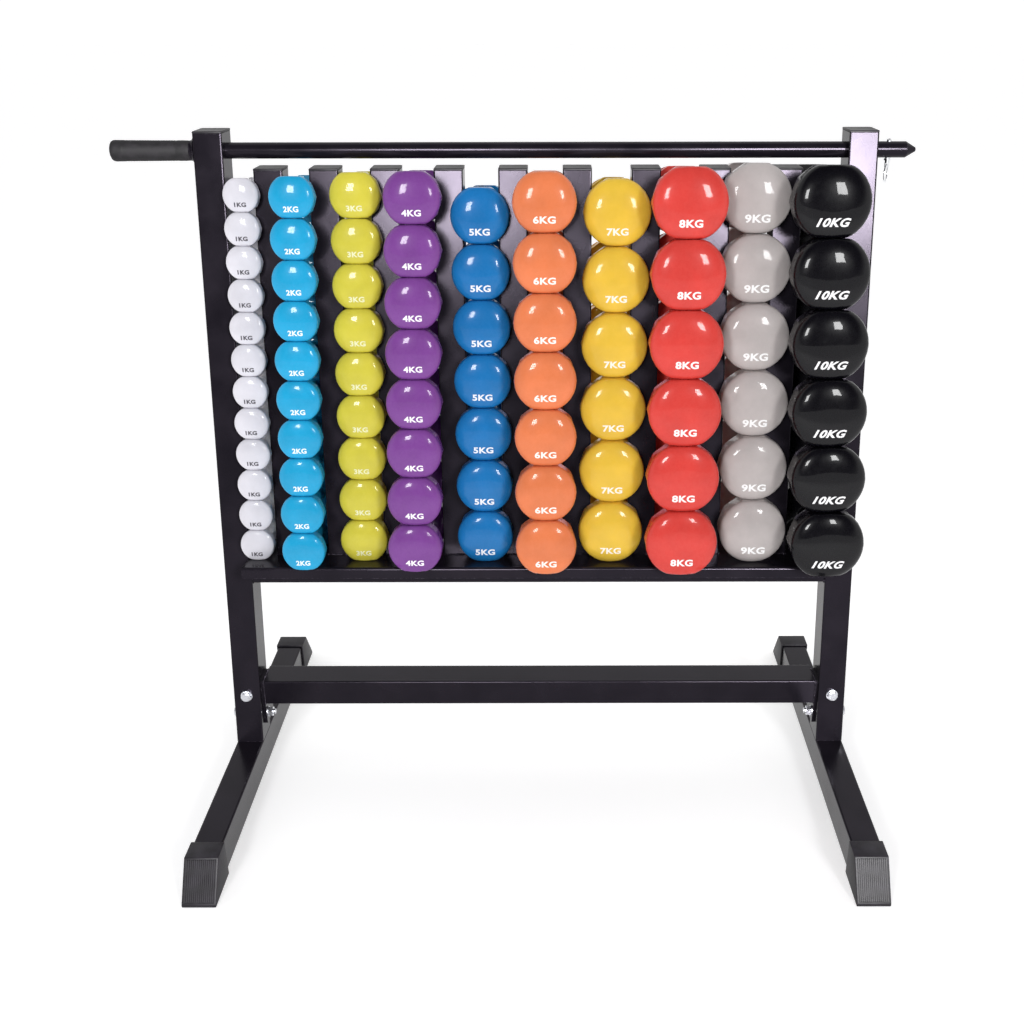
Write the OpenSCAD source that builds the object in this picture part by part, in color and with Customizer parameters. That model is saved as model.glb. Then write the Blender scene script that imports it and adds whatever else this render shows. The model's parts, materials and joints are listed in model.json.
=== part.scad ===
// Dumbbell rack with ten columns of vinyl dumbbells and a pinned lock bar.
// Millimetres. +X to the right, +Y to the back, +Z up.
// The origin is on the floor, under the middle of the whole object.

/* [Frame] */
// Distance between the centre lines of the two uprights
span = 1110; // [900:5:1300]
// How far the uprights and dividers lean back, in degrees
lean = 10; // [0:1:14]
// Width of an upright across the front
upright_w = 50; // [40:5:60]
// Depth of an upright, measured level
upright_d = 60; // [50:5:70]
// Wall of the tubes
wall = 2.5; // [2:0.5:4]
// Height of the top of the legs over the floor
leg_top = 64; // [50:1:80]
// Height of the top of the uprights over the floor
upright_top = 1162; // [1000:1:1250]
// Width of a leg tube
leg_w = 50; // [40:5:60]

/* [Slots] */
// Width of a divider
divider_w = 50; // [40:5:60]
// Depth of a divider, measured level
divider_d = 50; // [40:5:60]
// Height of the top of the dividers over the floor
divider_top = 1101; // [900:1:1105]
// Height of the tray's top face, at the front of the dividers, over the floor
tray_z = 427; // [380:1:500]
// Slope of the tray and of the dumbbells down to the back, in degrees
tilt = 7; // [0:1:8]
// Depth of the tray
tray_d = 250; // [180:5:260]
// Height of the tray's folded lips
lip_h = 20; // [12:1:30]

/* [Lower beam] */
// Height of the beam's top face over the floor
beam_top = 180; // [150:1:220]
// Height of the beam tube
beam_h = 50; // [40:5:60]
// Depth of the beam tube
beam_d = 60; // [50:5:70]

/* [Lock bar] */
// Diameter of the lock bar
bar_dia = 27; // [20:1:30]
// Height of the lock bar's axis over the floor
bar_z = 1128; // [1000:1:1200]
// How far the bar's grip end reaches past the left upright
bar_left = 148; // [100:1:180]
// How far the bar's pointed end reaches past the right upright
bar_right = 70; // [45:1:80]
// Diameter of the lock pin
pin_dia = 8; // [6:0.5:10]
// Distance from the right upright to the lock pin's axis
pin_off = 24; // [12:1:30]

/* [Hidden] */

rake = tan(lean);                       // level shift back for each mm of height
outer = span / 2 + upright_w / 2;       // outer face of an upright
inner = span / 2 - upright_w / 2;       // inner face of an upright
mid_x = (bar_left - bar_right) / 2;     // middle of the frame, from the origin
foot_front = 374;                       // front foot tip, ahead of the upright's foot
foot_rear = 436;                        // rear foot tip, behind the upright's foot
mid_y = (foot_front - foot_rear) / 2;   // front of the upright's foot, from the origin
leg_h = 60;                             // height of a leg tube
corner = 3;                             // outer corner radius of every tube
foot_wall = 3.5;                        // rubber foot cap: wall, length, slope and tip height
foot_len = 83;
foot_slope = 43;
foot_tip = 5;
tube_in = 47;                           // leg tube's end, from the foot tip
inset = upright_d - divider_d;          // divider's face behind the upright's face
cap_t = 4;                              // tube cap: plate, depth of its plug and its play
plug_in = 16;
plug_play = 0.2;
spigot_top = 210;
spigot_play = 0.3;
beam_back = 12;                         // lower beam's front, behind the upright's face
plate_t = 5;                            // beam end plate: thickness and lower edge
plate_low = 88;
sheet = 3;                              // tray's folded sheet and its outer bend radius
bend = 5;
tray_front = 75;                        // tray's front edge, ahead of the dividers
tray_beam_front = 8;                    // tube under the tray: front face, ahead of the
tray_beam_w = 50;                       // dividers, and size
foot_depth = 8;                         // a divider's foot before it is cut to the tray

// M10 bolts: shank radius, clearance, head and nut, tail past the nut's seat
m10 = 5;
clear = 0.5;
head_h = 6.4;
nut_h = 8.4;
tail = 13;
bolt_z = 158;                           // bolt through the upright's front
side_bolt_z = 108;                      // bolt through the upright's side
wedge_t = 3.2;                          // wedge washer at its thin place, and its radius
wedge_r = 11;
washer_t = 2;                           // flat washer and its radius
washer_r = 10;

// Lock bar: play in the bores, pointed end, collar, hub, grip radii
bore_gap = 0.1;
bar_y = (bar_z - leg_top) * rake + upright_d / 2;
point_l = 17;
point_r = 3.5;
collar_off = 1.5;
collar_t = 4;
collar_r = 23;
collar_edge = 1.2;
hub_t = 6;
hub_r = 17;
grip_end = 4;
grip_r = [14, 17.8, 16.9];
pin_bevel = 1.5;

// Slot pitches grow with the dumbbells, from the 1 kg slot to the 10 kg slot.
pitch = [96.7, 95, 104.3, 108.8, 110.4, 110.4, 118.1, 119.7, 122.9, 123.7];
function reach(k) = k == 0 ? 0 : reach(k - 1) + pitch[k - 1];
function divider_x(k) = -span / 2 + reach(k) * span / reach(10);
function slot_x(k) = (divider_x(k) + divider_x(k + 1)) / 2;
function face_y(z) = (z - leg_top) * rake;            // upright's front face
function divider_y(z) = face_y(z) + inset;            // divider's front face

// One row for each weight: count, head width, head height, head length, grip
// length, grip diameter, front head's back ahead of the dividers, sideways
// place of the top and of the bottom dumbbell in the slot.
bells = [
  [12,  62,  55.7, 24, 100, 22,  12,   7,  -4],
  [10,  77,  67.2, 31, 118, 24,  62,   9,  -4],
  [ 9,  87,  75.3, 39, 115, 26,   6,   5,  -4],
  [ 8,  97,  85.0, 43, 118, 27,  63,   2, -11],
  [ 7, 102,  93.3, 47, 120, 28,   6,   0,   0],
  [ 7, 108,  97.0, 50, 126, 29,  71.5, 0,   0],
  [ 6, 117, 111.2, 52, 126, 30,   7.4, 8,   1],
  [ 6, 127, 114.4, 50, 131, 31,  76.5, 5,   3],
  [ 6, 121, 115.3, 56, 133, 32,   6.5, 2,  16],
  [ 6, 130, 114.8, 58, 135, 32,  80.5, -11, 11]];
colours = ["#E8E6EC", "#2AA3E0", "#D3D83A", "#7E3F98", "#1F70B8",
  "#F47B4A", "#F9BE2D", "#EF4136", "#B5ABA3", "#15131A"];

black = "#1B1A1E";
rubber = "#121214";
zinc = "#C9CBCF";

// Everything is modelled from the middle of the uprights' feet.
module placed() translate([mid_x, mid_y, 0]) children();

// A solid raked bar with level ends, from z0 to z1, y0 behind the upright's face.
module raked(x, w, y0, d, z0, z1)
  translate([x - w / 2, 0, 0]) rotate([90, 0, 90]) linear_extrude(w)
    polygon([[face_y(z0) + y0, z0], [face_y(z0) + y0 + d, z0],
      [face_y(z1) + y0 + d, z1], [face_y(z1) + y0, z1]]);

// A rectangle with round corners, its corner at the origin.
module rounded(w, d, r) {
  translate([r, 0]) square([w - 2 * r, d]);
  translate([0, r]) square([w, d - 2 * r]);
  for (x = [r, w - r], y = [r, d - r]) translate([x, y]) circle(r = r, $fn = 32);
}

// A raked tube, round-cornered across its own axis and cut level at both ends.
module raked_tube(x, w, y0, d, z0, z1) difference() {
  intersection() {
    translate([x - w / 2, face_y(z0) + y0, z0]) rotate([-lean, 0, 0])
      translate([0, 0, -d]) linear_extrude((z1 - z0) / cos(lean) + 2 * d)
        rounded(w, d * cos(lean), corner);
    box([x - w, face_y(z0) - d, z0], [x + w, face_y(z1) + 3 * d, z1]);
  }
  raked(x, w - 2 * wall, y0 + wall, d - 2 * wall, z0 - 1, z1 + 1);
}

// A round-cornered tube along Y, and one along X, between two corners.
module tube_y(lo, hi) difference() {
  translate([lo[0], hi[1], lo[2]]) rotate([90, 0, 0]) linear_extrude(hi[1] - lo[1])
    rounded(hi[0] - lo[0], hi[2] - lo[2], corner);
  box(lo + [wall, -1, wall], hi - [wall, -1, wall]);
}
module tube_x(lo, hi) difference() {
  translate(lo) rotate([90, 0, 90]) linear_extrude(hi[0] - lo[0])
    rounded(hi[1] - lo[1], hi[2] - lo[2], corner);
  box(lo + [-1, wall, wall], hi - [-1, wall, wall]);
}

module box(lo, hi) translate(lo) cube(hi - lo);
module rod_x(x0, x1, r, y, z) translate([x0, y, z]) rotate([0, 90, 0])
  cylinder(h = x1 - x0, r = r, $fn = 64);
module rod_y(y0, y1, r, x, z) translate([x, y0, z]) rotate([-90, 0, 0])
  cylinder(h = y1 - y0, r = r, $fn = 64);

// Legs and feet
module leg(side) color(black) placed()
  tube_y([side * span / 2 - leg_w / 2, -foot_front + tube_in, leg_top - leg_h],
    [side * span / 2 + leg_w / 2, foot_rear - tube_in, leg_top]);

module foot_cap(side, back) {
  tip = back ? foot_rear : -foot_front;
  dir = back ? -1 : 1;
  w = leg_w + 2 * foot_wall;
  color(rubber) placed() translate([side * span / 2, tip, 0]) scale([1, dir, 1]) difference() {
    translate([-w / 2, 0, 0]) rotate([90, 0, 90]) linear_extrude(w)
      polygon([[0, 0], [foot_len, 0], [foot_len, leg_top + foot_wall],
        [foot_slope, leg_top + foot_wall], [0, foot_tip]]);
    box([-leg_w / 2, tube_in, leg_top - leg_h], [leg_w / 2, foot_len + 1, leg_top]);
  }
}

// Uprights slide over spigots welded to the legs
function side_bolt_y() = face_y(side_bolt_z) + upright_d / 2;

// Clearance holes for the two bolts through an upright's foot
module bolt_holes(side) {
  rod_y(-upright_d, 3 * upright_d, m10 + clear, side * span / 2, bolt_z);
  rod_x(side * span / 2 - upright_w, side * span / 2 + upright_w, m10 + clear,
    side_bolt_y(), side_bolt_z);
}

module spigot(side) color(black) placed() difference() {
  raked_tube(side * span / 2, upright_w - 2 * (wall + spigot_play), wall + spigot_play,
    upright_d - 2 * (wall + spigot_play), leg_top, spigot_top);
  bolt_holes(side);
}

module upright(side) color(black) placed() difference() {
  raked_tube(side * span / 2, upright_w, 0, upright_d, leg_top, upright_top - cap_t);
  rod_x(side * span / 2 - upright_w, side * span / 2 + upright_w, bar_dia / 2 + bore_gap,
    bar_y, bar_z);
  bolt_holes(side);
}

// A cap plate with its top at z1, and the plug that goes down into the tube
module tube_cap(x, w, y0, d, z1) {
  raked(x, w, y0, d, z1 - cap_t, z1);
  raked(x, w - 2 * (wall + plug_play), y0 + wall + plug_play, d - 2 * (wall + plug_play),
    z1 - cap_t - plug_in, z1 - cap_t);
}
module upright_cap(side) color(rubber) placed()
  tube_cap(side * span / 2, upright_w, 0, upright_d, upright_top);

// Lower beam, its end plates and the bolts
beam_y = face_y(beam_top - beam_h / 2) + beam_back;
module lower_beam() color(black) placed()
  tube_x([-inner + plate_t, beam_y, beam_top - beam_h], [inner - plate_t, beam_y + beam_d, beam_top]);
module beam_plate(side) color(black) placed() difference() {
  box([min(side * inner, side * (inner - plate_t)), beam_y, plate_low],
    [max(side * inner, side * (inner - plate_t)), beam_y + beam_d - beam_back, beam_top]);
  rod_x(side * inner - 2 * plate_t, side * inner + 2 * plate_t, m10 + clear,
    side_bolt_y(), side_bolt_z);
}

// Upright bolts run front to back, square to the level bolt holes, with
// wedge washers that make up for the lean of the faces.
function bolt_front() = face_y(bolt_z) - wedge_t;
function bolt_back() = face_y(bolt_z) + upright_d + wedge_t;
module hex_head(h) intersection() {
  cylinder(h = h, r = 9.8, $fn = 6);
  rotate_extrude($fn = 48) polygon([[0, 0], [9.9, 0], [9.9, h - 1.1], [8, h], [0, h]]);
}
module upright_bolts() color(zinc) placed() for (s = [-1, 1]) translate([s * span / 2, 0, bolt_z]) {
  translate([0, bolt_front(), 0]) rotate([90, 0, 0]) hex_head(head_h);
  rod_y(bolt_front(), bolt_back() + tail, m10, 0, 0);
}
module upright_nuts() color(zinc) placed() for (s = [-1, 1])
  translate([s * span / 2, bolt_back(), bolt_z]) rotate([-90, 0, 0]) hex_nut();
module hex_nut() difference() {
  hex_head(nut_h);
  translate([0, 0, -1]) cylinder(h = nut_h + 2, r = m10 + 0.05, $fn = 48);
}
module wedge_washer(front) intersection() {
  lo = bolt_z - 15;
  hi = bolt_z + 15;
  difference() {
    rod_y(-20, 120, wedge_r, 0, bolt_z);
    rod_y(-30, 130, m10 + clear, 0, bolt_z);
  }
  rotate([90, 0, 90]) translate([0, 0, -15]) linear_extrude(30) polygon(front
    ? [[bolt_front(), lo], [face_y(lo), lo], [face_y(hi), hi], [bolt_front(), hi]]
    : [[face_y(lo) + upright_d, lo], [bolt_back(), lo],
      [bolt_back(), hi], [face_y(hi) + upright_d, hi]]);
}
module washers() color(zinc) placed() for (s = [-1, 1]) {
  translate([s * span / 2, 0, 0]) { wedge_washer(true); wedge_washer(false); }
  for (x = [outer, inner - plate_t - washer_t]) along_x(s, x) difference() {
    cylinder(h = washer_t, r = washer_r, $fn = 64);
    translate([0, 0, -1]) cylinder(h = washer_t + 2, r = m10 + clear, $fn = 48);
  }
}
// Side bolts run along X, outwards from x on one side of the frame.
module along_x(side, x) translate([side * x, side_bolt_y(), side_bolt_z])
  rotate([0, side * 90, 0]) children();
nut_seat = inner - plate_t - washer_t;
module beam_bolts() color(zinc) placed() for (s = [-1, 1]) {
  along_x(s, outer + washer_t) hex_head(head_h);
  along_x(s, nut_seat - tail) cylinder(h = outer + washer_t - nut_seat + tail, r = m10, $fn = 64);
}
module beam_nuts() color(zinc) placed() for (s = [-1, 1])
  along_x(s, nut_seat - nut_h) hex_nut();

// Tray, its beam, the dividers and their caps, from the dividers' front foot line
module sloped() placed() translate([0, divider_y(tray_z), tray_z]) rotate([-tilt, 0, 0]) children();
module tray() color(black) sloped() translate([-inner, -tray_front, -lip_h]) rotate([90, 0, 90])
  linear_extrude(2 * inner) difference() {
    union() {
      square([tray_d, lip_h - bend]);
      rounded(tray_d, lip_h, bend);
    }
    translate([sheet, -1]) square([tray_d - 2 * sheet, lip_h - bend + 1]);
    rounded_in = bend - sheet;
    translate([sheet, rounded_in]) rounded(tray_d - 2 * sheet, lip_h - bend, rounded_in);
  }
module tray_beam() color(black) sloped()
  tube_x([-inner, -tray_beam_front, -sheet - tray_beam_w],
    [inner, tray_beam_w - tray_beam_front, -sheet]);
module divider(k) color(black) difference() {
  placed() raked_tube(divider_x(k), divider_w, inset, divider_d,
    tray_z - foot_depth, divider_top - cap_t);
  sloped() box([divider_x(k) - divider_w, -divider_d, -4 * foot_depth],
    [divider_x(k) + divider_w, 2 * divider_d, 0]);
}
module divider_caps() color(rubber) placed() for (k = [1:9])
  tube_cap(divider_x(k), divider_w, inset, divider_d, divider_top);

// Lock bar: black round bar with a pointed end, a collar and a rubber grip
collar_x = outer + collar_off + collar_t;
module lock_bar() color(black) placed() difference() {
  union() {
    rod_x(-outer - bar_left + grip_end, outer + bar_right - point_l, bar_dia / 2, bar_y, bar_z);
    translate([outer + bar_right - point_l, bar_y, bar_z]) rotate([0, 90, 0])
      cylinder(h = point_l, r1 = bar_dia / 2, r2 = point_r, $fn = 64);
  }
  translate([outer + pin_off, bar_y, bar_z - 20])
    cylinder(h = 40, r = pin_dia / 2 + bore_gap, $fn = 48);
}
module bar_collar() color(black) placed() difference() {
  union() {
    translate([-collar_x, bar_y, bar_z]) rotate([0, 90, 0]) rotate_extrude($fn = 72)
      polygon([[0, 0], [collar_r - collar_edge, 0], [collar_r, collar_edge],
        [collar_r, collar_t - collar_edge], [collar_r - collar_edge, collar_t], [0, collar_t]]);
    rod_x(-collar_x - hub_t, -collar_x, hub_r, bar_y, bar_z);
  }
  rod_x(-collar_x - 2 * hub_t, -outer, bar_dia / 2, bar_y, bar_z);
}
module bar_grip() color(rubber) placed() difference() {
  union() {
    translate([-outer - bar_left + grip_end, bar_y, bar_z]) rotate([0, 90, 0])
      cylinder(h = outer + bar_left - grip_end - collar_x - hub_t - clear,
        r1 = grip_r[1], r2 = grip_r[2], $fn = 64);
    translate([-outer - bar_left, bar_y, bar_z]) rotate([0, 90, 0])
      cylinder(h = grip_end, r1 = grip_r[0], r2 = grip_r[1], $fn = 64);
  }
  rod_x(-outer - bar_left + grip_end, -outer, bar_dia / 2, bar_y, bar_z);
}

// The pin goes up through the bar; its ring hangs from the lower end.
ring_r = 14.5;
wire_r = 1.3;
ring_turn = -25;
pin_tip = bar_z + bar_dia / 2 + 4.5;
eye_z = bar_z - bar_dia / 2 - 11;
module at_pin(z) placed() translate([outer + pin_off, bar_y, z]) children();
module lock_pin() color(zinc) difference() {
  at_pin(0) union() {
    translate([0, 0, eye_z - 5])
      cylinder(h = pin_tip - pin_bevel - eye_z + 5, r = pin_dia / 2, $fn = 48);
    translate([0, 0, pin_tip - pin_bevel])
      cylinder(h = pin_bevel, r1 = pin_dia / 2, r2 = 2.6, $fn = 48);
    translate([0, 0, bar_z - bar_dia / 2 - 4]) cylinder(h = 3, r = 6, $fn = 48);
  }
  at_pin(eye_z) rotate([0, 0, ring_turn]) rotate([90, 0, 0])
    translate([0, 0, -10]) cylinder(h = 20, r = 2.3, $fn = 32);
}
module pin_ring() color(zinc) at_pin(eye_z) rotate([0, 0, ring_turn]) translate([0, 0, -ring_r])
  rotate([0, 90, 0]) rotate_extrude($fn = 72) translate([ring_r, 0]) circle(r = wire_r, $fn = 24);

// Dumbbells: two ten-sided heads, flat where they rest, with smooth round ends,
// and a grip between them
face_part = 0.32;  // how much of a head's length is its round end
module head(w, h, len) intersection() {
  union() {
    translate([0, len * face_part, 0]) rotate([-90, 0, 0]) linear_extrude(len * (1 - face_part))
      polygon([for (a = [0:36:324]) [w / 2 * cos(a), w / 2 * sin(a)]]);
    rotate([-90, 0, 0]) rotate_extrude($fn = 96)
      polygon([[0, 0], [w * 0.34, 0], [w * 0.44, len * 0.07], [w * 0.485, len * 0.2],
        [w * 0.49, len * face_part], [0, len * face_part]]);
  }
  box([-w, -1, -h / 2], [w, len + 1, h / 2]);
}
rest_gap = 0.1;    // left between dumbbells, and between a grip and its heads
top_gap = 0.3;     // more of it under the top dumbbell, which lifts off
module dumbbell(b) {
  translate([0, -b[3], 0]) head(b[1], b[2] - rest_gap, b[3]);
  translate([0, b[4] + b[3], 0]) scale([1, -1, 1]) head(b[1], b[2] - rest_gap, b[3]);
  rod_y(rest_gap, b[4] - rest_gap, b[5] / 2, 0, 0);
}
function bell_z(b, i) = tray_z
  + ((i + 0.5) * b[2] + rest_gap / 2) * cos(lean) / cos(lean - tilt);
function bell_x(k, i) = slot_x(k) + bells[k][8]
  + (bells[k][7] - bells[k][8]) * i / (bells[k][0] - 1);
module at_bell(k, i, up) color(colours[k]) placed()
  translate([bell_x(k, i), divider_y(bell_z(bells[k], i)), bell_z(bells[k], i) + up])
    rotate([-tilt, 0, 0]) translate([0, -bells[k][6], 0]) dumbbell(bells[k]);
module top(k) at_bell(k, bells[k][0] - 1, top_gap);
module stack(k) for (i = [0:bells[k][0] - 2]) at_bell(k, i, 0);

leg(-1);  // leg_left
leg(1);  // leg_right
spigot(-1);  // spigot_left
spigot(1);  // spigot_right
foot_cap(-1, false);  // foot_cap_front_left
foot_cap(1, false);  // foot_cap_front_right
foot_cap(-1, true);  // foot_cap_rear_left
foot_cap(1, true);  // foot_cap_rear_right
upright(-1);  // upright_left
upright(1);  // upright_right
upright_cap(-1);  // upright_cap_left
upright_cap(1);  // upright_cap_right
lower_beam();
beam_plate(-1);  // beam_plate_left
beam_plate(1);  // beam_plate_right
upright_bolts();
upright_nuts();
beam_bolts();
beam_nuts();
washers();
tray();
tray_beam();
divider(1);  // divider_1
divider(2);  // divider_2
divider(3);  // divider_3
divider(4);  // divider_4
divider(5);  // divider_5
divider(6);  // divider_6
divider(7);  // divider_7
divider(8);  // divider_8
divider(9);  // divider_9
divider_caps();
lock_bar();
bar_collar();
bar_grip();
lock_pin();
pin_ring();
top(0);  // top_1kg
top(1);  // top_2kg
top(2);  // top_3kg
top(3);  // top_4kg
top(4);  // top_5kg
top(5);  // top_6kg
top(6);  // top_7kg
top(7);  // top_8kg
top(8);  // top_9kg
top(9);  // top_10kg
stack(0);  // stack_1kg
stack(1);  // stack_2kg
stack(2);  // stack_3kg
stack(3);  // stack_4kg
stack(4);  // stack_5kg
stack(5);  // stack_6kg
stack(6);  // stack_7kg
stack(7);  // stack_8kg
stack(8);  // stack_9kg
stack(9);  // stack_10kg
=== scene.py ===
import json
import math
import random

import bmesh
import bpy
from mathutils import Matrix, Vector

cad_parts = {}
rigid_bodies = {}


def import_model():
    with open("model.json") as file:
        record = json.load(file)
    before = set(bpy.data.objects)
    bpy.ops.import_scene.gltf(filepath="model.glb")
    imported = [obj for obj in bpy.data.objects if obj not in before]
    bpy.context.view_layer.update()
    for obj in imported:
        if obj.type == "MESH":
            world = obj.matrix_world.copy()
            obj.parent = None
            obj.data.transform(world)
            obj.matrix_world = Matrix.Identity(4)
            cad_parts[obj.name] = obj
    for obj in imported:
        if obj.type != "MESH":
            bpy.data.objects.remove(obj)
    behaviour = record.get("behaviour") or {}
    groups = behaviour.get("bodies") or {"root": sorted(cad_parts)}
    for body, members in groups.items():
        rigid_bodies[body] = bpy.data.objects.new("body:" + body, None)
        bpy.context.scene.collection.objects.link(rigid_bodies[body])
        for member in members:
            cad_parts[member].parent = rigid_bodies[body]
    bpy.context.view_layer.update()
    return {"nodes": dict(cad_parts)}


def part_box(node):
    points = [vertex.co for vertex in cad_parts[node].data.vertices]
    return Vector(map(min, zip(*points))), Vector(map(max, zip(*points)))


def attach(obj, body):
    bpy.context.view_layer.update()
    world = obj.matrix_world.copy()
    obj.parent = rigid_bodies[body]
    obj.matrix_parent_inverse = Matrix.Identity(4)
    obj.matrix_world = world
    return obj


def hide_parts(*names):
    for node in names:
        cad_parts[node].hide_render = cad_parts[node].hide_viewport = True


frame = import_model()

MM = 0.001
LEAN = math.radians(10)          # how far uprights and dividers lean back
RAKE = math.tan(LEAN)
SLOPE = math.radians(7)          # how far the tray and the dumbbells slope to the back
TRAY_Z = 427 * MM                # height of the tray at the dividers' front foot line
DIVIDER_D = 50 * MM              # level depth of a divider
UPRIGHT_D = 60 * MM              # level depth of an upright
CAP_T = 4 * MM                   # thickness of a tube cap's plate
SEAM = 0.002 * MM                # vertices nearer than this are merged
SAME = 1e-6                      # two places nearer than this, in metres, are one
chance = random.Random(7)

# One row for each weight, in mm: how many; head width, height and length; grip length
# and diameter; front head's back ahead of the dividers; sideways place of the top and
# of the bottom dumbbell; colour of the vinyl and of the mark; the mark's width and height.
BELLS = {
    "1kg": (12, 62, 55.7, 24, 100, 22, 12, 7, -4, "#E1DFE6", "#3E3A44", 20, 7.6),
    "2kg": (10, 77, 67.2, 31, 118, 24, 62, 9, -4, "#22A5D6", "#EDF6FB", 25, 9.4),
    "3kg": (9, 87, 75.3, 39, 115, 26, 6, 5, -4, "#DFD44A", "#F1F2C4", 27, 9.6),
    "4kg": (8, 97, 85.0, 43, 118, 27, 63, 2, -11, "#7D4594", "#F7F2FA", 32, 10.6),
    "5kg": (7, 102, 93.3, 47, 120, 28, 6, 0, 0, "#1E79BE", "#F2F6FB", 35, 11.6),
    "6kg": (7, 108, 97.0, 50, 126, 29, 71.5, 0, 0, "#E37E50", "#FDEFE8", 37, 12.0),
    "7kg": (6, 117, 111.2, 52, 126, 30, 7.4, 8, 1, "#EFC845", "#FFF9EA", 37, 12.4),
    "8kg": (6, 127, 114.4, 50, 131, 31, 76.5, 5, 3, "#D8443D", "#FDF1F0", 39, 12.8),
    "9kg": (6, 121, 115.3, 56, 133, 32, 6.5, 2, 16, "#C0B9B7", "#FAFAFA", 43, 14.0),
    "10kg": (6, 130, 114.8, 58, 135, 32, 80.5, -11, 11, "#08070C", "#F6F5F6", 56, 14.3),
}


# ---------------------------------------------------------------- materials

def linear(code):
    """An sRGB hex colour as linear red, green, blue and alpha."""
    parts = [int(code[i:i + 2], 16) / 255 for i in (1, 3, 5)]
    return [c / 12.92 if c <= 0.04045 else ((c + 0.055) / 1.055) ** 2.4 for c in parts] + [1.0]


def add(tree, kind, settings=None, **sockets):
    """Adds a node to the tree, with its settings, values and links by input name."""
    made = tree.nodes.new(kind)
    for name, value in (settings or {}).items():
        setattr(made, name, value)
    for name, value in sockets.items():
        by_number = name[0] == "i" and name[1:].isdigit()
        socket = made.inputs[int(name[1:]) if by_number else name.replace("_", " ")]
        if isinstance(value, bpy.types.NodeSocket):
            tree.links.new(value, socket)
        else:
            socket.default_value = value
    return made


def finish_of(name, **sockets):
    """A material with one Principled shader, its fixed values set on its own sockets."""
    made = bpy.data.materials.new(name)
    made.use_nodes = True
    tree = made.node_tree
    tree.nodes.clear()
    shader = add(tree, "ShaderNodeBsdfPrincipled", **sockets)
    out = add(tree, "ShaderNodeOutputMaterial")
    tree.links.new(shader.outputs[0], out.inputs[0])
    return made, tree, shader


def per_metre(mm):
    """The scale that makes a pattern repeat about every so many millimetres."""
    return 1 / (mm * MM)


def ramp(tree, fac, low, high, out_low, out_high):
    """A value stretched from one range to another and held at its ends."""
    return add(tree, "ShaderNodeMapRange", {"clamp": True}, Value=fac, From_Min=low, From_Max=high,
               To_Min=out_low, To_Max=out_high).outputs[0]


def blend_of(tree, fac, a, b):
    """Colour a changed to colour b by a factor."""
    return add(tree, "ShaderNodeMix", {"data_type": "RGBA"}, i0=fac, i6=a, i7=b).outputs[2]


# Polyester powder coat on steel tube, sprayed and baked. The eye sees a satin black
# with a violet cast, a fine orange peel, and greyer, rougher places where edges rub.
# The lighter grey along the edges is also a painted highlight, where tube corners catch the light.
def make_powder_coat():
    made, tree, shader = finish_of("powder_coat_satin_black", IOR=1.5, Specular_IOR_Level=0.15,
                                   Specular_Tint=linear("#E6D9F0"))
    place = add(tree, "ShaderNodeTexCoord").outputs["Object"]
    # the peel of a real coat is about 1 mm; it is drawn at 2.2 mm to show
    peel = add(tree, "ShaderNodeTexNoise", Vector=place, Scale=per_metre(2.2), Detail=2.0)
    cloud = add(tree, "ShaderNodeTexNoise", Vector=place, Scale=per_metre(70), Detail=3.0)
    speck = add(tree, "ShaderNodeTexNoise", Vector=place, Scale=per_metre(5), Detail=4.0, Roughness=0.7)
    soft = add(tree, "ShaderNodeBevel", {"samples": 4}, Radius=1.6 * MM)
    true = add(tree, "ShaderNodeNewGeometry").outputs["Normal"]
    turn = add(tree, "ShaderNodeVectorMath", {"operation": "DOT_PRODUCT"}, i0=soft.outputs[0], i1=true)
    edge = ramp(tree, turn.outputs["Value"], 0.995, 0.86, 0.0, 1.0)
    rub = ramp(tree, speck.outputs[0], 0.5, 0.66, 0.0, 1.0)
    # edges painted a lighter grey: partly rubbed coat, partly a painted highlight along the tube corners
    edge_wear_and_highlight = add(tree, "ShaderNodeMath", {"operation": "MULTIPLY"}, i0=edge, i1=rub).outputs[0]
    ground = blend_of(tree, ramp(tree, cloud.outputs[0], 0.3, 0.7, 0.0, 1.0),
                      linear("#070609"), linear("#0D0B0F"))
    tree.links.new(blend_of(tree, edge_wear_and_highlight, ground, linear("#3A363D")), shader.inputs["Base Color"])
    gloss = ramp(tree, cloud.outputs[0], 0.3, 0.7, 0.17, 0.23)
    rough = add(tree, "ShaderNodeMath", {"operation": "MULTIPLY_ADD"}, i0=edge_wear_and_highlight, i1=0.2, i2=gloss)
    tree.links.new(rough.outputs[0], shader.inputs["Roughness"])
    bump = add(tree, "ShaderNodeBump", Strength=0.22, Distance=0.12 * MM, Height=peel.outputs[0])
    tree.links.new(bump.outputs[0], shader.inputs["Normal"])
    return made


# Injection-moulded polyethylene, for the caps. The eye sees a softer black than the
# steel, with the fine spark-eroded texture of the mould and no sharp reflections.
def make_moulded_cap():
    made, tree, shader = finish_of("polyethylene_moulded_black", IOR=1.5,
                                   Specular_IOR_Level=0.2)
    place = add(tree, "ShaderNodeTexCoord").outputs["Object"]
    # mould texture of about 0.3 mm, drawn at 1 mm to show
    grain = add(tree, "ShaderNodeTexNoise", Vector=place, Scale=per_metre(1.0), Detail=3.0)
    dust = add(tree, "ShaderNodeTexNoise", Vector=place, Scale=per_metre(22), Detail=4.0, Roughness=0.6)
    dusty = ramp(tree, dust.outputs[0], 0.42, 0.72, 0.0, 1.0)
    tree.links.new(blend_of(tree, dusty, linear("#0F0D11"), linear("#1B191E")), shader.inputs["Base Color"])
    tree.links.new(ramp(tree, grain.outputs[0], 0.3, 0.7, 0.4, 0.52), shader.inputs["Roughness"])
    bump = add(tree, "ShaderNodeBump", Strength=0.3, Distance=0.1 * MM, Height=grain.outputs[0])
    tree.links.new(bump.outputs[0], shader.inputs["Normal"])
    return made


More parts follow.
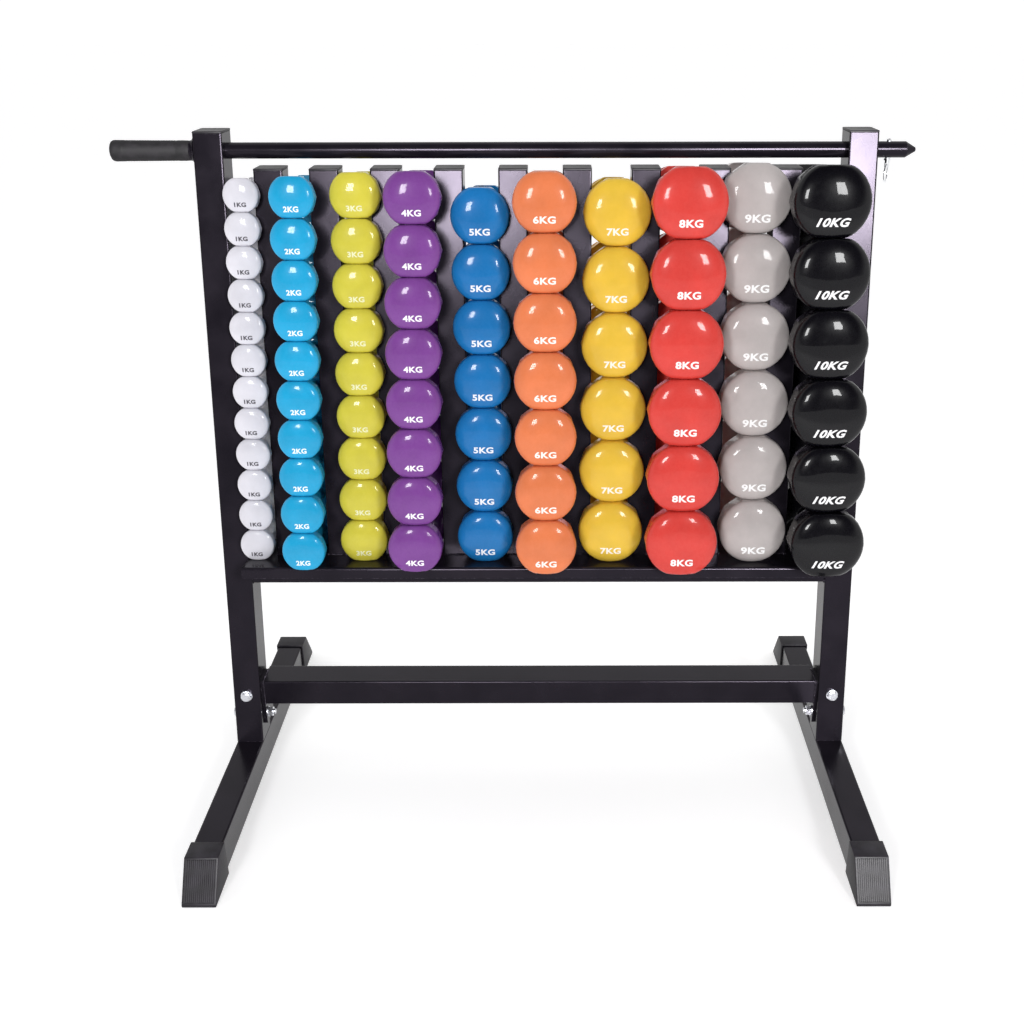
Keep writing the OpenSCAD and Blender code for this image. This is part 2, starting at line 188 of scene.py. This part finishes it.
# Moulded nitrile rubber, for the grip. The eye sees a matt, slightly dusty black.
def make_grip_rubber():
    made, tree, shader = finish_of("nitrile_rubber_moulded", IOR=1.52,
                                   Specular_IOR_Level=0.2)
    place = add(tree, "ShaderNodeTexCoord").outputs["Object"]
    pores = add(tree, "ShaderNodeTexVoronoi", Vector=place, Scale=per_metre(1.4))
    dust = add(tree, "ShaderNodeTexNoise", Vector=place, Scale=per_metre(14), Detail=4.0, Roughness=0.65)
    dusty = ramp(tree, dust.outputs[0], 0.4, 0.7, 0.0, 1.0)
    tree.links.new(blend_of(tree, dusty, linear("#0C0B0D"), linear("#19171A")), shader.inputs["Base Color"])
    tree.links.new(ramp(tree, dust.outputs[0], 0.3, 0.7, 0.6, 0.74), shader.inputs["Roughness"])
    bump = add(tree, "ShaderNodeBump", Strength=0.4, Distance=0.15 * MM, Height=pores.outputs[0])
    tree.links.new(bump.outputs[0], shader.inputs["Normal"])
    return made


# Steel bolts electroplated with bright zinc. The eye sees a cool silver with small
# cloudy patches and faint turning marks.
def make_zinc():
    made, tree, shader = finish_of("zinc_electroplated_steel", Metallic=1.0)
    place = add(tree, "ShaderNodeTexCoord").outputs["Object"]
    cloud = add(tree, "ShaderNodeTexNoise", Vector=place, Scale=per_metre(4), Detail=4.0, Roughness=0.6)
    fine = add(tree, "ShaderNodeTexNoise", Vector=place, Scale=per_metre(0.9), Detail=2.0)
    tree.links.new(blend_of(tree, cloud.outputs[0], linear("#B9BCC4"), linear("#E2E2E4")),
                   shader.inputs["Base Color"])
    tree.links.new(ramp(tree, cloud.outputs[0], 0.3, 0.7, 0.22, 0.4), shader.inputs["Roughness"])
    bump = add(tree, "ShaderNodeBump", Strength=0.25, Distance=0.08 * MM, Height=fine.outputs[0])
    tree.links.new(bump.outputs[0], shader.inputs["Normal"])
    return made


# Steel plated with bright chrome, for the pin and its ring. The eye sees a mirror
# with a light haze of fine scratches.
def make_chrome():
    made, tree, shader = finish_of("chrome_plated_steel", Metallic=1.0)
    place = add(tree, "ShaderNodeTexCoord").outputs["Object"]
    haze = add(tree, "ShaderNodeTexNoise", Vector=place, Scale=per_metre(3), Detail=5.0, Roughness=0.7)
    tree.links.new(blend_of(tree, haze.outputs[0], linear("#D6D8DC"), linear("#F0F0F1")),
                   shader.inputs["Base Color"])
    tree.links.new(ramp(tree, haze.outputs[0], 0.35, 0.7, 0.08, 0.24), shader.inputs["Roughness"])
    return made


# Cast iron dipped in soft vinyl. The eye sees a strong, even colour under a wet gloss,
# slightly uneven where the dip ran, with dull scuffs from other dumbbells.
def make_vinyl(weight, code):
    made, tree, shader = finish_of("vinyl_dipped_" + weight, IOR=1.5, Specular_IOR_Level=0.1,
                                   Coat_Weight=0.35, Coat_Roughness=0.04, Coat_IOR=1.5)
    place = add(tree, "ShaderNodeTexCoord").outputs["Object"]
    base = linear(code)
    deep = [c * 0.86 for c in base[:3]] + [1.0]
    pale = [min(1.0, c * 1.05 + 0.012) for c in base[:3]] + [1.0]
    cloud = add(tree, "ShaderNodeTexNoise", Vector=place, Scale=per_metre(45), Detail=2.0)
    scuff = add(tree, "ShaderNodeTexNoise", Vector=place, Scale=per_metre(9), Detail=6.0, Roughness=0.75)
    run = add(tree, "ShaderNodeTexNoise", Vector=place, Scale=per_metre(16), Detail=1.0)
    body = blend_of(tree, ramp(tree, cloud.outputs[0], 0.3, 0.7, 0.0, 1.0), deep, base)
    worn = ramp(tree, scuff.outputs[0], 0.6, 0.74, 0.0, 0.35)
    tree.links.new(blend_of(tree, worn, body, pale), shader.inputs["Base Color"])
    rough = ramp(tree, scuff.outputs[0], 0.45, 0.74, 0.26, 0.36)
    tree.links.new(rough, shader.inputs["Roughness"])
    bump = add(tree, "ShaderNodeBump", Strength=0.35, Distance=0.25 * MM, Height=run.outputs[0])
    tree.links.new(bump.outputs[0], shader.inputs["Normal"])
    return made


# Screen-printed ink on the vinyl. The eye sees a flat, slightly chalky mark with
# thin places where it has rubbed.
def make_ink(weight, code, ground):
    made, tree, shader = finish_of("ink_printed_" + weight, IOR=1.5)
    place = add(tree, "ShaderNodeTexCoord").outputs["Object"]
    rub = add(tree, "ShaderNodeTexNoise", Vector=place, Scale=per_metre(2.5), Detail=5.0, Roughness=0.7)
    thin = ramp(tree, rub.outputs[0], 0.58, 0.75, 0.0, 0.45)
    tree.links.new(blend_of(tree, thin, linear(code), linear(ground)), shader.inputs["Base Color"])
    tree.links.new(ramp(tree, rub.outputs[0], 0.3, 0.7, 0.35, 0.5), shader.inputs["Roughness"])
    return made


powder_coat = make_powder_coat()
moulded_cap = make_moulded_cap()
grip_rubber = make_grip_rubber()
zinc = make_zinc()
chrome = make_chrome()


# ---------------------------------------------------------------- modelling

def piece(name, bm, material, body, replaces=(), crease=35):
    """Closes the seams of a bmesh, turns its faces outwards and makes it a finished piece."""
    bmesh.ops.remove_doubles(bm, verts=bm.verts, dist=SEAM)
    bmesh.ops.recalc_face_normals(bm, faces=bm.faces)
    for face in bm.faces:
        face.smooth = True
    for edge in bm.edges:
        edge.smooth = edge.is_manifold and edge.calc_face_angle(0) < math.radians(crease)
    mesh = bpy.data.meshes.new(name)
    bm.to_mesh(mesh)
    bm.free()
    return mesh_piece(name, mesh, material, body, replaces)


def mesh_piece(name, mesh, material, body, replaces=()):
    made = bpy.data.objects.new(name, mesh)
    bpy.context.scene.collection.objects.link(made)
    mesh.materials.clear()
    mesh.materials.append(material)
    if replaces:
        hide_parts(*replaces)
    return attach(made, body)


def lathe(bm, outline, steps, centre, axis):
    """Spins an outline of (radius, along) points once round an axis through centre."""
    side = Vector((1, 0, 0)) if abs(axis.x) < 0.5 else Vector((0, 0, 1))
    dots = [bm.verts.new(centre + side * r + axis * a) for r, a in outline]
    edges = [bm.edges.new(pair) for pair in zip(dots, dots[1:])]
    bmesh.ops.spin(bm, geom=dots + edges, cent=centre, axis=axis, dvec=(0, 0, 0),
                   angle=2 * math.pi, steps=steps, use_merge=True, use_duplicate=False)
    bmesh.ops.remove_doubles(bm, verts=bm.verts, dist=SEAM)


def box_of(bm, low, high):
    """A plain box between two corners; returns its vertices."""
    low, high = Vector(low), Vector(high)
    made = bmesh.ops.create_cube(bm, size=1.0)["verts"]
    for v in made:
        v.co = Vector([lo + (c + 0.5) * (hi - lo) for lo, c, hi in zip(low, v.co, high)])
    return made


def round_edges(bm, edges, width, segments=3):
    bmesh.ops.bevel(bm, geom=list(edges), offset=width, offset_type="OFFSET", affect="EDGES",
                    segments=segments, profile=0.5, material=-1, clamp_overlap=True)


def lean_back(verts, z0):
    """Shears level-ended pieces so that they follow the lean of the tubes from height z0."""
    for v in verts:
        v.co.y += (v.co.z - z0) * RAKE


# ---------------------------------------------------------------- dumbbells

COLUMNS = 60                     # vertices round a head, six to each of its ten facets
DOME_SHARES = (0.0, 0.22, 0.4, 0.55, 0.66, 0.75, 0.82, 0.87, 0.905, 0.93, 0.95, 0.968, 0.984, 1.0)
DISC = 0.98                      # radius of the round end, as a share of the head's
DOME = 0.35                      # depth of the round end, as a share of the head's length


def dome_depth(share, length):
    """How far behind its middle the round end lies, at a share of its radius."""
    return DOME * length * (1 - (1 - min(share, 1.0) ** 2.5) ** (1 / 2.1))


def bell_outline(radius, length, grip_r, total):
    """Half the profile of a dumbbell, from the middle of a round end to mid grip."""
    disc, edge = DISC * radius, DOME * length
    back = [(disc, edge + 0.8 * MM), (0.99 * radius, edge + 1.5 * MM), (radius, edge + 2.4 * MM),
            (radius, length - 3.2 * MM), (radius - 1 * MM, length - 1 * MM),
            (radius - 3.2 * MM, length), (0.6 * radius, length), (grip_r + 4 * MM, length),
            (grip_r + 1.2 * MM, length + 1.0 * MM), (grip_r, length + 4 * MM),
            (grip_r, length + 0.22 * (total - 2 * length)), (grip_r + 0.5 * MM, total / 2)]
    return [(s * disc, dome_depth(s, length)) for s in DOME_SHARES] + back


def facet_corners(width, height):
    """Where a head's ten facets meet, in degrees, with the flats at top and bottom."""
    apothem = width / 2 * math.cos(math.radians(18))
    x = (apothem - height / 2 * math.sin(math.radians(54))) / math.cos(math.radians(54))
    cut = math.degrees(math.atan2(height / 2, x))
    return [0, 36, cut, 180 - cut, 144, 180, 216, 180 + cut, 360 - cut, 324, 360]


def cut_radius(width, height, angle, radius, soft, faceted):
    """The radius cut down to the flats, or to all ten facets, with softened edges."""
    apothem = width / 2 * math.cos(math.radians(18))
    total = math.exp(-(radius - apothem) / soft)
    for k in range(10) if faceted else (2, 7):
        away = angle - math.radians(18 + 36 * k)
        reach = height / 2 if k in (2, 7) else apothem
        if math.cos(away) > 0.3:
            total += math.exp(-(reach / math.cos(away) - apothem) / soft)
    return apothem - soft * math.log(total)


def make_bell(width, height, length, grip_r, total):
    """One dumbbell along +Y from its front end, centred on X and Z."""
    bm = bmesh.new()
    half = bell_outline(width / 2, length, grip_r, total)
    outline = half + [(r, total - a) for r, a in reversed(half[:-1])]
    lathe(bm, outline, COLUMNS, Vector((0, 0, 0)), Vector((0, 1, 0)))
    corners = facet_corners(width, height)
    for v in bm.verts:
        radius = math.hypot(v.co.x, v.co.z)
        if radius < 0.6 * grip_r:
            continue
        column = round(math.degrees(math.atan2(v.co.z, v.co.x)) / (360 / COLUMNS)) % COLUMNS
        a, b = corners[column // 6], corners[column // 6 + 1]
        turn = (a, a + 2.2, a + 0.3 * (b - a), (a + b) / 2, b - 0.3 * (b - a), b - 2.2)[column % 6]
        angle = math.radians(turn)
        drum = min(v.co.y, total - v.co.y) > DOME * length + 1.2 * MM
        soft = (0.006 if drum else 0.012) * width
        radius = min(radius, cut_radius(width, height, angle, radius, soft, drum))
        v.co.x, v.co.z = radius * math.cos(angle), radius * math.sin(angle)
    bmesh.ops.recalc_face_normals(bm, faces=bm.faces)
    mesh = bpy.data.meshes.new("bell")
    bm.to_mesh(mesh)
    bm.free()
    return mesh


def make_mark(words, mark_w, mark_h, width, height, length, slant):
    """The printed weight, raised 0.3 mm, wrapped on to the round end of a head."""
    curve = bpy.data.curves.new("mark", "FONT")
    curve.body = words
    curve.align_x = "CENTER"
    curve.align_y = "CENTER"
    curve.offset = 0.034
    curve.space_character = 1.06
    curve.shear = slant
    curve.extrude = 0.5
    curve.resolution_u = 3
    holder = bpy.data.objects.new("mark", curve)
    bpy.context.scene.collection.objects.link(holder)
    bpy.context.view_layer.update()
    mesh = bpy.data.meshes.new_from_object(holder.evaluated_get(bpy.context.evaluated_depsgraph_get()))
    bpy.data.objects.remove(holder)
    xs, ys = [v.co.x for v in mesh.vertices], [v.co.y for v in mesh.vertices]
    sx, sy = mark_w / (max(xs) - min(xs)), mark_h / (max(ys) - min(ys))
    mx, my = (max(xs) + min(xs)) / 2, (max(ys) + min(ys)) / 2
    bm = bmesh.new()
    bm.from_mesh(mesh)
    # long strokes are cut up so that they follow the round end
    for part in range(2):
        long = [e for e in bm.edges if (e.verts[0].co.xy - e.verts[1].co.xy).length * sy > 2.5 * MM]
        bmesh.ops.subdivide_edges(bm, edges=long, cuts=1)
    bmesh.ops.triangulate(bm, faces=bm.faces)
    for v in bm.verts:
        x, z = (v.co.x - mx) * sx, (v.co.y - my) * sy - 0.28 * height
        share = math.hypot(x, z) / (DISC * width / 2)
        proud = 0.35 * MM if v.co.z > 0 else -0.4 * MM
        v.co = (x, dome_depth(share, length) - proud, z)
    bm.to_mesh(mesh)
    bm.free()
    return mesh


def copies(name, source, places, material, body, replaces=()):
    """One piece from copies of a mesh, one at each place, sloped as the tray is."""
    bm = bmesh.new()
    for place in places:
        known = len(bm.verts)
        bm.from_mesh(source)
        bm.verts.ensure_lookup_table()
        turn = Matrix.Rotation(math.radians(chance.uniform(-0.2, 0.2)), 4, "Z")
        bmesh.ops.transform(bm, matrix=Matrix.Translation(place) @ turn @ Matrix.Rotation(-SLOPE, 4, "X"),
                            verts=bm.verts[known:])
    return piece(name, bm, material, body, replaces, crease=40)


def middle_x(node):
    low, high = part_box(node)
    return (low.x + high.x) / 2


foot_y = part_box("divider_5")[0].y
walls = [middle_x(f"divider_{k}") for k in range(1, 10)]
walls = [middle_x("upright_left")] + walls + [middle_x("upright_right")]
for k, (weight, row) in enumerate(BELLS.items()):
    count, width, height, length, grip_l, grip_d, ahead, x_top, x_low = [c * (MM if i else 1)
                                                                         for i, c in enumerate(row[:9])]
    colour, ink, mark_w, mark_h = row[9:]
    places = []
    for i in range(count):
        up = ((i + 0.5) * height + 0.05 * MM) / math.cos(LEAN - SLOPE)
        x = (walls[k] + walls[k + 1]) / 2 + x_low + (x_top - x_low) * i / (count - 1)
        front = ahead + length
        lift = 0.3 * MM if i == count - 1 else 0
        places.append(Vector((x, foot_y + up * math.sin(LEAN) - front * math.cos(SLOPE),
                              TRAY_Z + up * math.cos(LEAN) + front * math.sin(SLOPE) + lift)))
    bell = make_bell(width, height - 0.1 * MM, length, grip_d / 2, grip_l + 2 * length)
    mark = make_mark(weight.upper(), mark_w * MM, mark_h * MM, width, height, length,
                     0.35 if weight == "10kg" else 0.0)
    vinyl = make_vinyl(weight, colour)
    printed = make_ink(weight, ink, colour)
    copies("dumbbells_" + weight, bell, places[:-1], vinyl, "rack", ["stack_" + weight])
    copies("dumbbell_top_" + weight, bell, places[-1:], vinyl, "top_" + weight,
           ["top_" + weight])
    copies("marks_" + weight, mark, places[:-1], printed, "rack")
    copies("mark_top_" + weight, mark, places[-1:], printed, "top_" + weight)


# ---------------------------------------------------------------- caps

def tube_cap(bm, low, high, top):
    """A cap plate on a leaning tube: soft edges and a low raised field."""
    plate = bmesh.new()
    verts = box_of(plate, (low[0], low[1], top - CAP_T), (high[0], high[1], top))
    upper = [f for f in plate.faces if f.normal.z > 0.5 or min(v.co.z for v in f.verts) > top - SAME]
    bmesh.ops.inset_region(plate, faces=upper, thickness=4.5 * MM, depth=0)
    bmesh.ops.translate(plate, verts=upper[0].verts, vec=(0, 0, -0.5 * MM))
    edges = [e for e in plate.edges if any(abs(v.co.x - s) < SAME and abs(v.co.y - t) < SAME
             for v in e.verts for s in (low[0], high[0]) for t in (low[1], high[1]))]
    round_edges(plate, edges, 1.3 * MM)
    lean_back(plate.verts, top)
    mesh = bpy.data.meshes.new("cap")
    plate.to_mesh(mesh)
    plate.free()
    bm.from_mesh(mesh)


for side in ("left", "right"):
    low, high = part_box("upright_cap_" + side)
    bm = bmesh.new()
    tube_cap(bm, (low.x, high.y - UPRIGHT_D), (high.x, high.y), high.z)
    piece("cap_upright_" + side, bm, moulded_cap, "rack", ["upright_cap_" + side])

bm = bmesh.new()
cap_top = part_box("divider_caps")[1]
for k in range(1, 10):
    low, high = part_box(f"divider_{k}")
    tube_cap(bm, (low.x, cap_top.y - DIVIDER_D), (high.x, cap_top.y), cap_top.z)
piece("caps_divider", bm, moulded_cap, "rack", ["divider_caps"])


def foot_cap(name, node):
    """A moulded foot cap: wedge nose with upright ribs, and a socket for the leg."""
    low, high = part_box(node)
    front = "front" in node
    nose, mouth = (low.y, high.y) if front else (high.y, low.y)
    inward = 1 if front else -1
    bm = bmesh.new()
    verts = box_of(bm, (low.x, min(nose, mouth), low.z), (high.x, max(nose, mouth), high.z))
    for v in verts:
        if abs(v.co.y - nose) < SAME:
            if v.co.z > 30 * MM:
                v.co.y += inward * 43 * MM
            else:
                v.co.z = 0.0
    # the nose's lower edge stands 5 mm off the floor before it slopes
    bmesh.ops.bisect_plane(bm, geom=bm.verts[:] + bm.edges[:] + bm.faces[:],
                           plane_co=(0, nose, 5 * MM), plane_no=(0, 0, 1))
    for v in bm.verts:
        if abs(v.co.z - 5 * MM) < SAME and abs(v.co.y - mouth) > 30 * MM:
            v.co.y = nose
    bm.faces.ensure_lookup_table()
    middle = (low.x + high.x) / 2
    centres = [(f, f.calc_center_median()) for f in bm.faces]
    slope = max((f for f, c in centres if abs(c.y - nose) < 30 * MM and c.z > 20 * MM
                 and abs(c.x - middle) < 1e-4), key=lambda f: f.calc_area())
    frame_in = 4.2 * MM
    bmesh.ops.inset_region(bm, faces=[slope], thickness=frame_in, depth=0)
    slope.normal_update()
    sunk = -slope.normal * 1.3 * MM
    bmesh.ops.inset_region(bm, faces=[slope], thickness=0.01 * MM, depth=0)
    bmesh.ops.translate(bm, verts=slope.verts, vec=sunk)
    corners = [v.co.copy() for v in slope.verts]
    rear = [f for f in bm.faces if all(abs(v.co.y - mouth) < SAME for v in f.verts)]
    if len(rear) > 1:
        bmesh.ops.dissolve_faces(bm, faces=rear)
        rear = [f for f in bm.faces if all(abs(v.co.y - mouth) < SAME for v in f.verts)]
    bmesh.ops.inset_region(bm, faces=rear, thickness=3.5 * MM, depth=0)
    socket = bmesh.ops.extrude_face_region(bm, geom=rear)
    inner = [g for g in socket["geom"] if isinstance(g, bmesh.types.BMVert)]
    bmesh.ops.translate(bm, verts=inner, vec=(0, -inward * 35 * MM, 0))
    bmesh.ops.delete(bm, geom=rear, context="FACES_ONLY")
    outer = [e for e in bm.edges if e.is_manifold and e.calc_face_angle(0) > math.radians(20)
             and all((abs(v.co.x - low.x) < SAME or abs(v.co.x - high.x) < SAME) for v in e.verts)]
    outer += [e for e in bm.edges if e.is_manifold and e.calc_face_angle(0) > math.radians(20)
              and abs(e.verts[0].co.x + e.verts[1].co.x - low.x - high.x) < SAME
              and abs(e.verts[0].co.x - e.verts[1].co.x) > high.x - low.x - 1e-5]
    round_edges(bm, set(outer), 1.6 * MM)
    # ribs run up the sunk field, flush with its frame
    up = (max(corners, key=lambda c: c.z) - min(corners, key=lambda c: c.z))
    up.x = 0
    foot = min(c.z for c in corners)
    base = next(c for c in corners if abs(c.z - foot) < SAME)
    left, right = min(c.x for c in corners), max(c.x for c in corners)
    ribs, lift = 15, -sunk
    pitch = (right - left) / (ribs + 0.5)
    for i in range(ribs):
        x = left + (i + 0.75) * pitch
        rib = bmesh.ops.create_cube(bm, size=1.0)["verts"]
        for v in rib:
            across, along, out = v.co.x, v.co.y + 0.5, v.co.z
            narrow = 0.5 if out > 0 else 0.9
            inset = 0.02 if out > 0 else 0.0
            along = inset + along * (1 - 2 * inset)
            v.co = Vector((x + across * narrow * pitch * 0.8, base.y, base.z)) + up * along \
                + lift * (0.9 if out > 0 else -0.1)
    piece(name, bm, moulded_cap, "rack", [node], crease=30)


for end in ("front", "rear"):
    for side in ("left", "right"):
        foot_cap(f"foot_{end}_{side}", f"foot_cap_{end}_{side}")


# ---------------------------------------------------------------- lock bar grip

low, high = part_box("bar_grip")
axis_y, axis_z, reach = (low.y + high.y) / 2, (low.z + high.z) / 2, high.x - low.x
bm = bmesh.new()
outline = [(0, 0), (9.3, 0), (13.4, 0.7), (16.2, 2.4), (17.4, 5), (17.8, 8.5)]
steps = 26
for i in range(steps):
    along = 11 + i * (reach / MM - 22) / (steps - 1)
    radius = 17.7 - 0.9 * along / (reach / MM)
    outline += [(radius, along - 1.1), (radius - 0.45, along)] if 2 < i < steps - 3 else [(radius, along)]
outline += [(16.8, reach / MM - 7), (16.5, reach / MM - 2), (16.0, reach / MM - 0.4), (15.2, reach / MM),
            (13.5, reach / MM), (13.5, 6), (0, 6)]
lathe(bm, [(r * MM, a * MM) for r, a in outline], 48, Vector((low.x, axis_y, axis_z)), Vector((1, 0, 0)))
piece("grip_lock_bar", bm, grip_rubber, "lock_bar", ["bar_grip"], crease=40)


# ---------------------------------------------------------------- weld beads

def bead(bm, a, b, size=2.3):
    """A weld bead from a to b, as a row of overlapping drops."""
    a, b = Vector(a), Vector(b)
    steps = max(2, round((b - a).length / (3.4 * MM)))
    for i in range(steps + 1):
        at = a.lerp(b, i / steps)
        radius = size * MM * chance.uniform(0.85, 1.12)
        spot = Matrix.Translation(at) @ Matrix.Rotation(chance.uniform(0, 6.28), 4, "X") \
            @ Matrix.Diagonal((1, 1, 0.85, 1))
        bmesh.ops.create_uvsphere(bm, u_segments=8, v_segments=5, radius=radius, matrix=spot)


def on_tray(x, along, up=0.0):
    """A point on the sloping tray, measured back from the dividers' foot line."""
    return Vector((x, foot_y + along * math.cos(SLOPE) + up * math.sin(SLOPE),
                   TRAY_Z - along * math.sin(SLOPE) + up * math.cos(SLOPE)))


def bead_loop(bm, corners, size=2.3):
    for a, b in zip(corners, corners[1:] + corners[:1]):
        bead(bm, a, b, size)


bm = bmesh.new()
foot_d = DIVIDER_D * math.cos(LEAN) / math.cos(LEAN - SLOPE)
for k in range(1, 10):
    low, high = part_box(f"divider_{k}")
    bead_loop(bm, [on_tray(low.x, 0), on_tray(high.x, 0), on_tray(high.x, foot_d), on_tray(low.x, foot_d)])
piece("welds_dividers", bm, powder_coat, "rack")

# the tray and its beam to the uprights, and the lower beam to its end plates
bm = bmesh.new()
for side, inner in (("left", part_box("tray")[0].x), ("right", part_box("tray")[1].x)):
    for up in (0.0, -3 * MM):
        bead(bm, on_tray(inner, -8 * MM, up), on_tray(inner, 46 * MM, up), 2.0)
    for along, a, b in ((-8 * MM, -6 * MM, -50 * MM), (42 * MM, -6 * MM, -50 * MM)):
        bead(bm, on_tray(inner, along, a), on_tray(inner, along, b), 2.0)
    bead(bm, on_tray(inner, -6 * MM, -53 * MM), on_tray(inner, 40 * MM, -53 * MM), 2.0)
    low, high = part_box("lower_beam")
    plate_low, plate_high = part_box("beam_plate_" + side)
    x = low.x if side == "left" else high.x
    bead(bm, (x, low.y, low.z + 2 * MM), (x, low.y, high.z - 2 * MM), 1.8)
    bead(bm, (x, low.y + 2 * MM, low.z), (x, plate_high.y - 2 * MM, low.z), 1.8)
    bead(bm, (x, low.y + 2 * MM, high.z), (x, plate_high.y - 2 * MM, high.z), 1.8)
piece("welds_frame", bm, powder_coat, "rack")


# ---------------------------------------------------------------- finishes of the CAD nodes

FINISHES = {
    powder_coat: ["leg_left", "leg_right", "spigot_left", "spigot_right", "upright_left", "upright_right",
                  "lower_beam", "beam_plate_left", "beam_plate_right", "tray", "tray_beam", "lock_bar",
                  "bar_collar"] + [f"divider_{k}" for k in range(1, 10)],
    zinc: ["upright_bolts", "upright_nuts", "beam_bolts", "beam_nuts", "washers"],
    chrome: ["lock_pin", "pin_ring"],
}
for material, names in FINISHES.items():
    for name in names:
        held = frame["nodes"][name].data.materials
        held.clear()
        held.append(material)


# ---------------------------------------------------------------- studio

floor_mesh = bpy.data.meshes.new("floor")
bm = bmesh.new()
bmesh.ops.create_grid(bm, x_segments=2, y_segments=2, size=40)
bm.to_mesh(floor_mesh)
bm.free()
floor = bpy.data.objects.new("floor", floor_mesh)
floor.location.z = -0.2 * MM
bpy.context.scene.collection.objects.link(floor)
paper, paper_tree, paper_shader = finish_of("studio_paper", Base_Color=linear("#E2E2E2"), Roughness=0.9,
                                            Specular_IOR_Level=0.1, Emission_Color=linear("#FFFFFF"),
                                            Emission_Strength=0.5)
floor_mesh.materials.append(paper)


def softbox(name, at, aim, wide, tall, power, lit):
    """A square soft light that falls on one group of pieces."""
    lamp = bpy.data.lights.new(name, "AREA")
    lamp.shape = "RECTANGLE"
    lamp.size, lamp.size_y = wide, tall
    lamp.energy = power
    made = bpy.data.objects.new(name, lamp)
    bpy.context.scene.collection.objects.link(made)
    made.location = at
    made.rotation_euler = (Vector(aim) - Vector(at)).to_track_quat("-Z", "Y").to_euler()
    made.light_linking.receiver_collection = lit


steel_group = bpy.data.collections.new("steel")
vinyl_group = bpy.data.collections.new("vinyl")
for thing in list(bpy.context.scene.objects):
    if thing.type == "MESH":
        coloured = thing.name.startswith(("dumbbell", "mark"))
        (vinyl_group if coloured or thing is floor else steel_group).objects.link(thing)
softbox("softbox_left", (-1.1, -3.3, 2.05), (0, 0, 0.8), 0.52, 0.78, 48, vinyl_group)
softbox("softbox_right", (1.6, -3.3, 2.05), (0, 0, 0.8), 0.52, 0.78, 48, vinyl_group)
softbox("softbox_steel_middle", (-0.38, -2.9, 1.85), (-0.2, 0.1, 1.0), 0.7, 0.7, 150, steel_group)
softbox("softbox_steel_right", (1.12, -2.9, 1.85), (0.5, 0.1, 1.0), 0.8, 0.75, 290, steel_group)

world = bpy.data.worlds.new("studio")
world.use_nodes = True
bpy.context.scene.world = world
sky = world.node_tree
sky.nodes.clear()
toward = add(sky, "ShaderNodeTexCoord").outputs["Generated"]
aim = Vector((0.05, -math.cos(math.radians(38)), math.sin(math.radians(38)))).normalized()
near = add(sky, "ShaderNodeVectorMath", {"operation": "DOT_PRODUCT"}, i0=toward, i1=aim)
lit = add(sky, "ShaderNodeMapRange", {"interpolation_type": "SMOOTHSTEP"}, Value=near.outputs["Value"],
          From_Min=math.cos(math.radians(66)), From_Max=math.cos(math.radians(44)), To_Min=1.0, To_Max=0.0)
shade = blend_of(sky, lit.outputs[0], linear("#54525A"), linear("#FFFFFF"))
glow = add(sky, "ShaderNodeBackground", Color=shade, Strength=1.05)
sky.links.new(glow.outputs[0], add(sky, "ShaderNodeOutputWorld").inputs[0])

lens = bpy.data.cameras.new("camera")
lens.lens = 40.43
lens.sensor_width = 36
lens.shift_x = -0.0469
camera = bpy.data.objects.new("camera", lens)
bpy.context.scene.collection.objects.link(camera)
camera.matrix_world = (Matrix.Translation((0.079, -1.868, 1.363))
                       @ Matrix.Rotation(math.radians(90 - 24), 4, "X")
                       @ Matrix.Rotation(math.radians(-0.1), 4, "Z"))
bpy.context.scene.camera = camera
bpy.context.scene.view_settings.view_transform = "Standard"
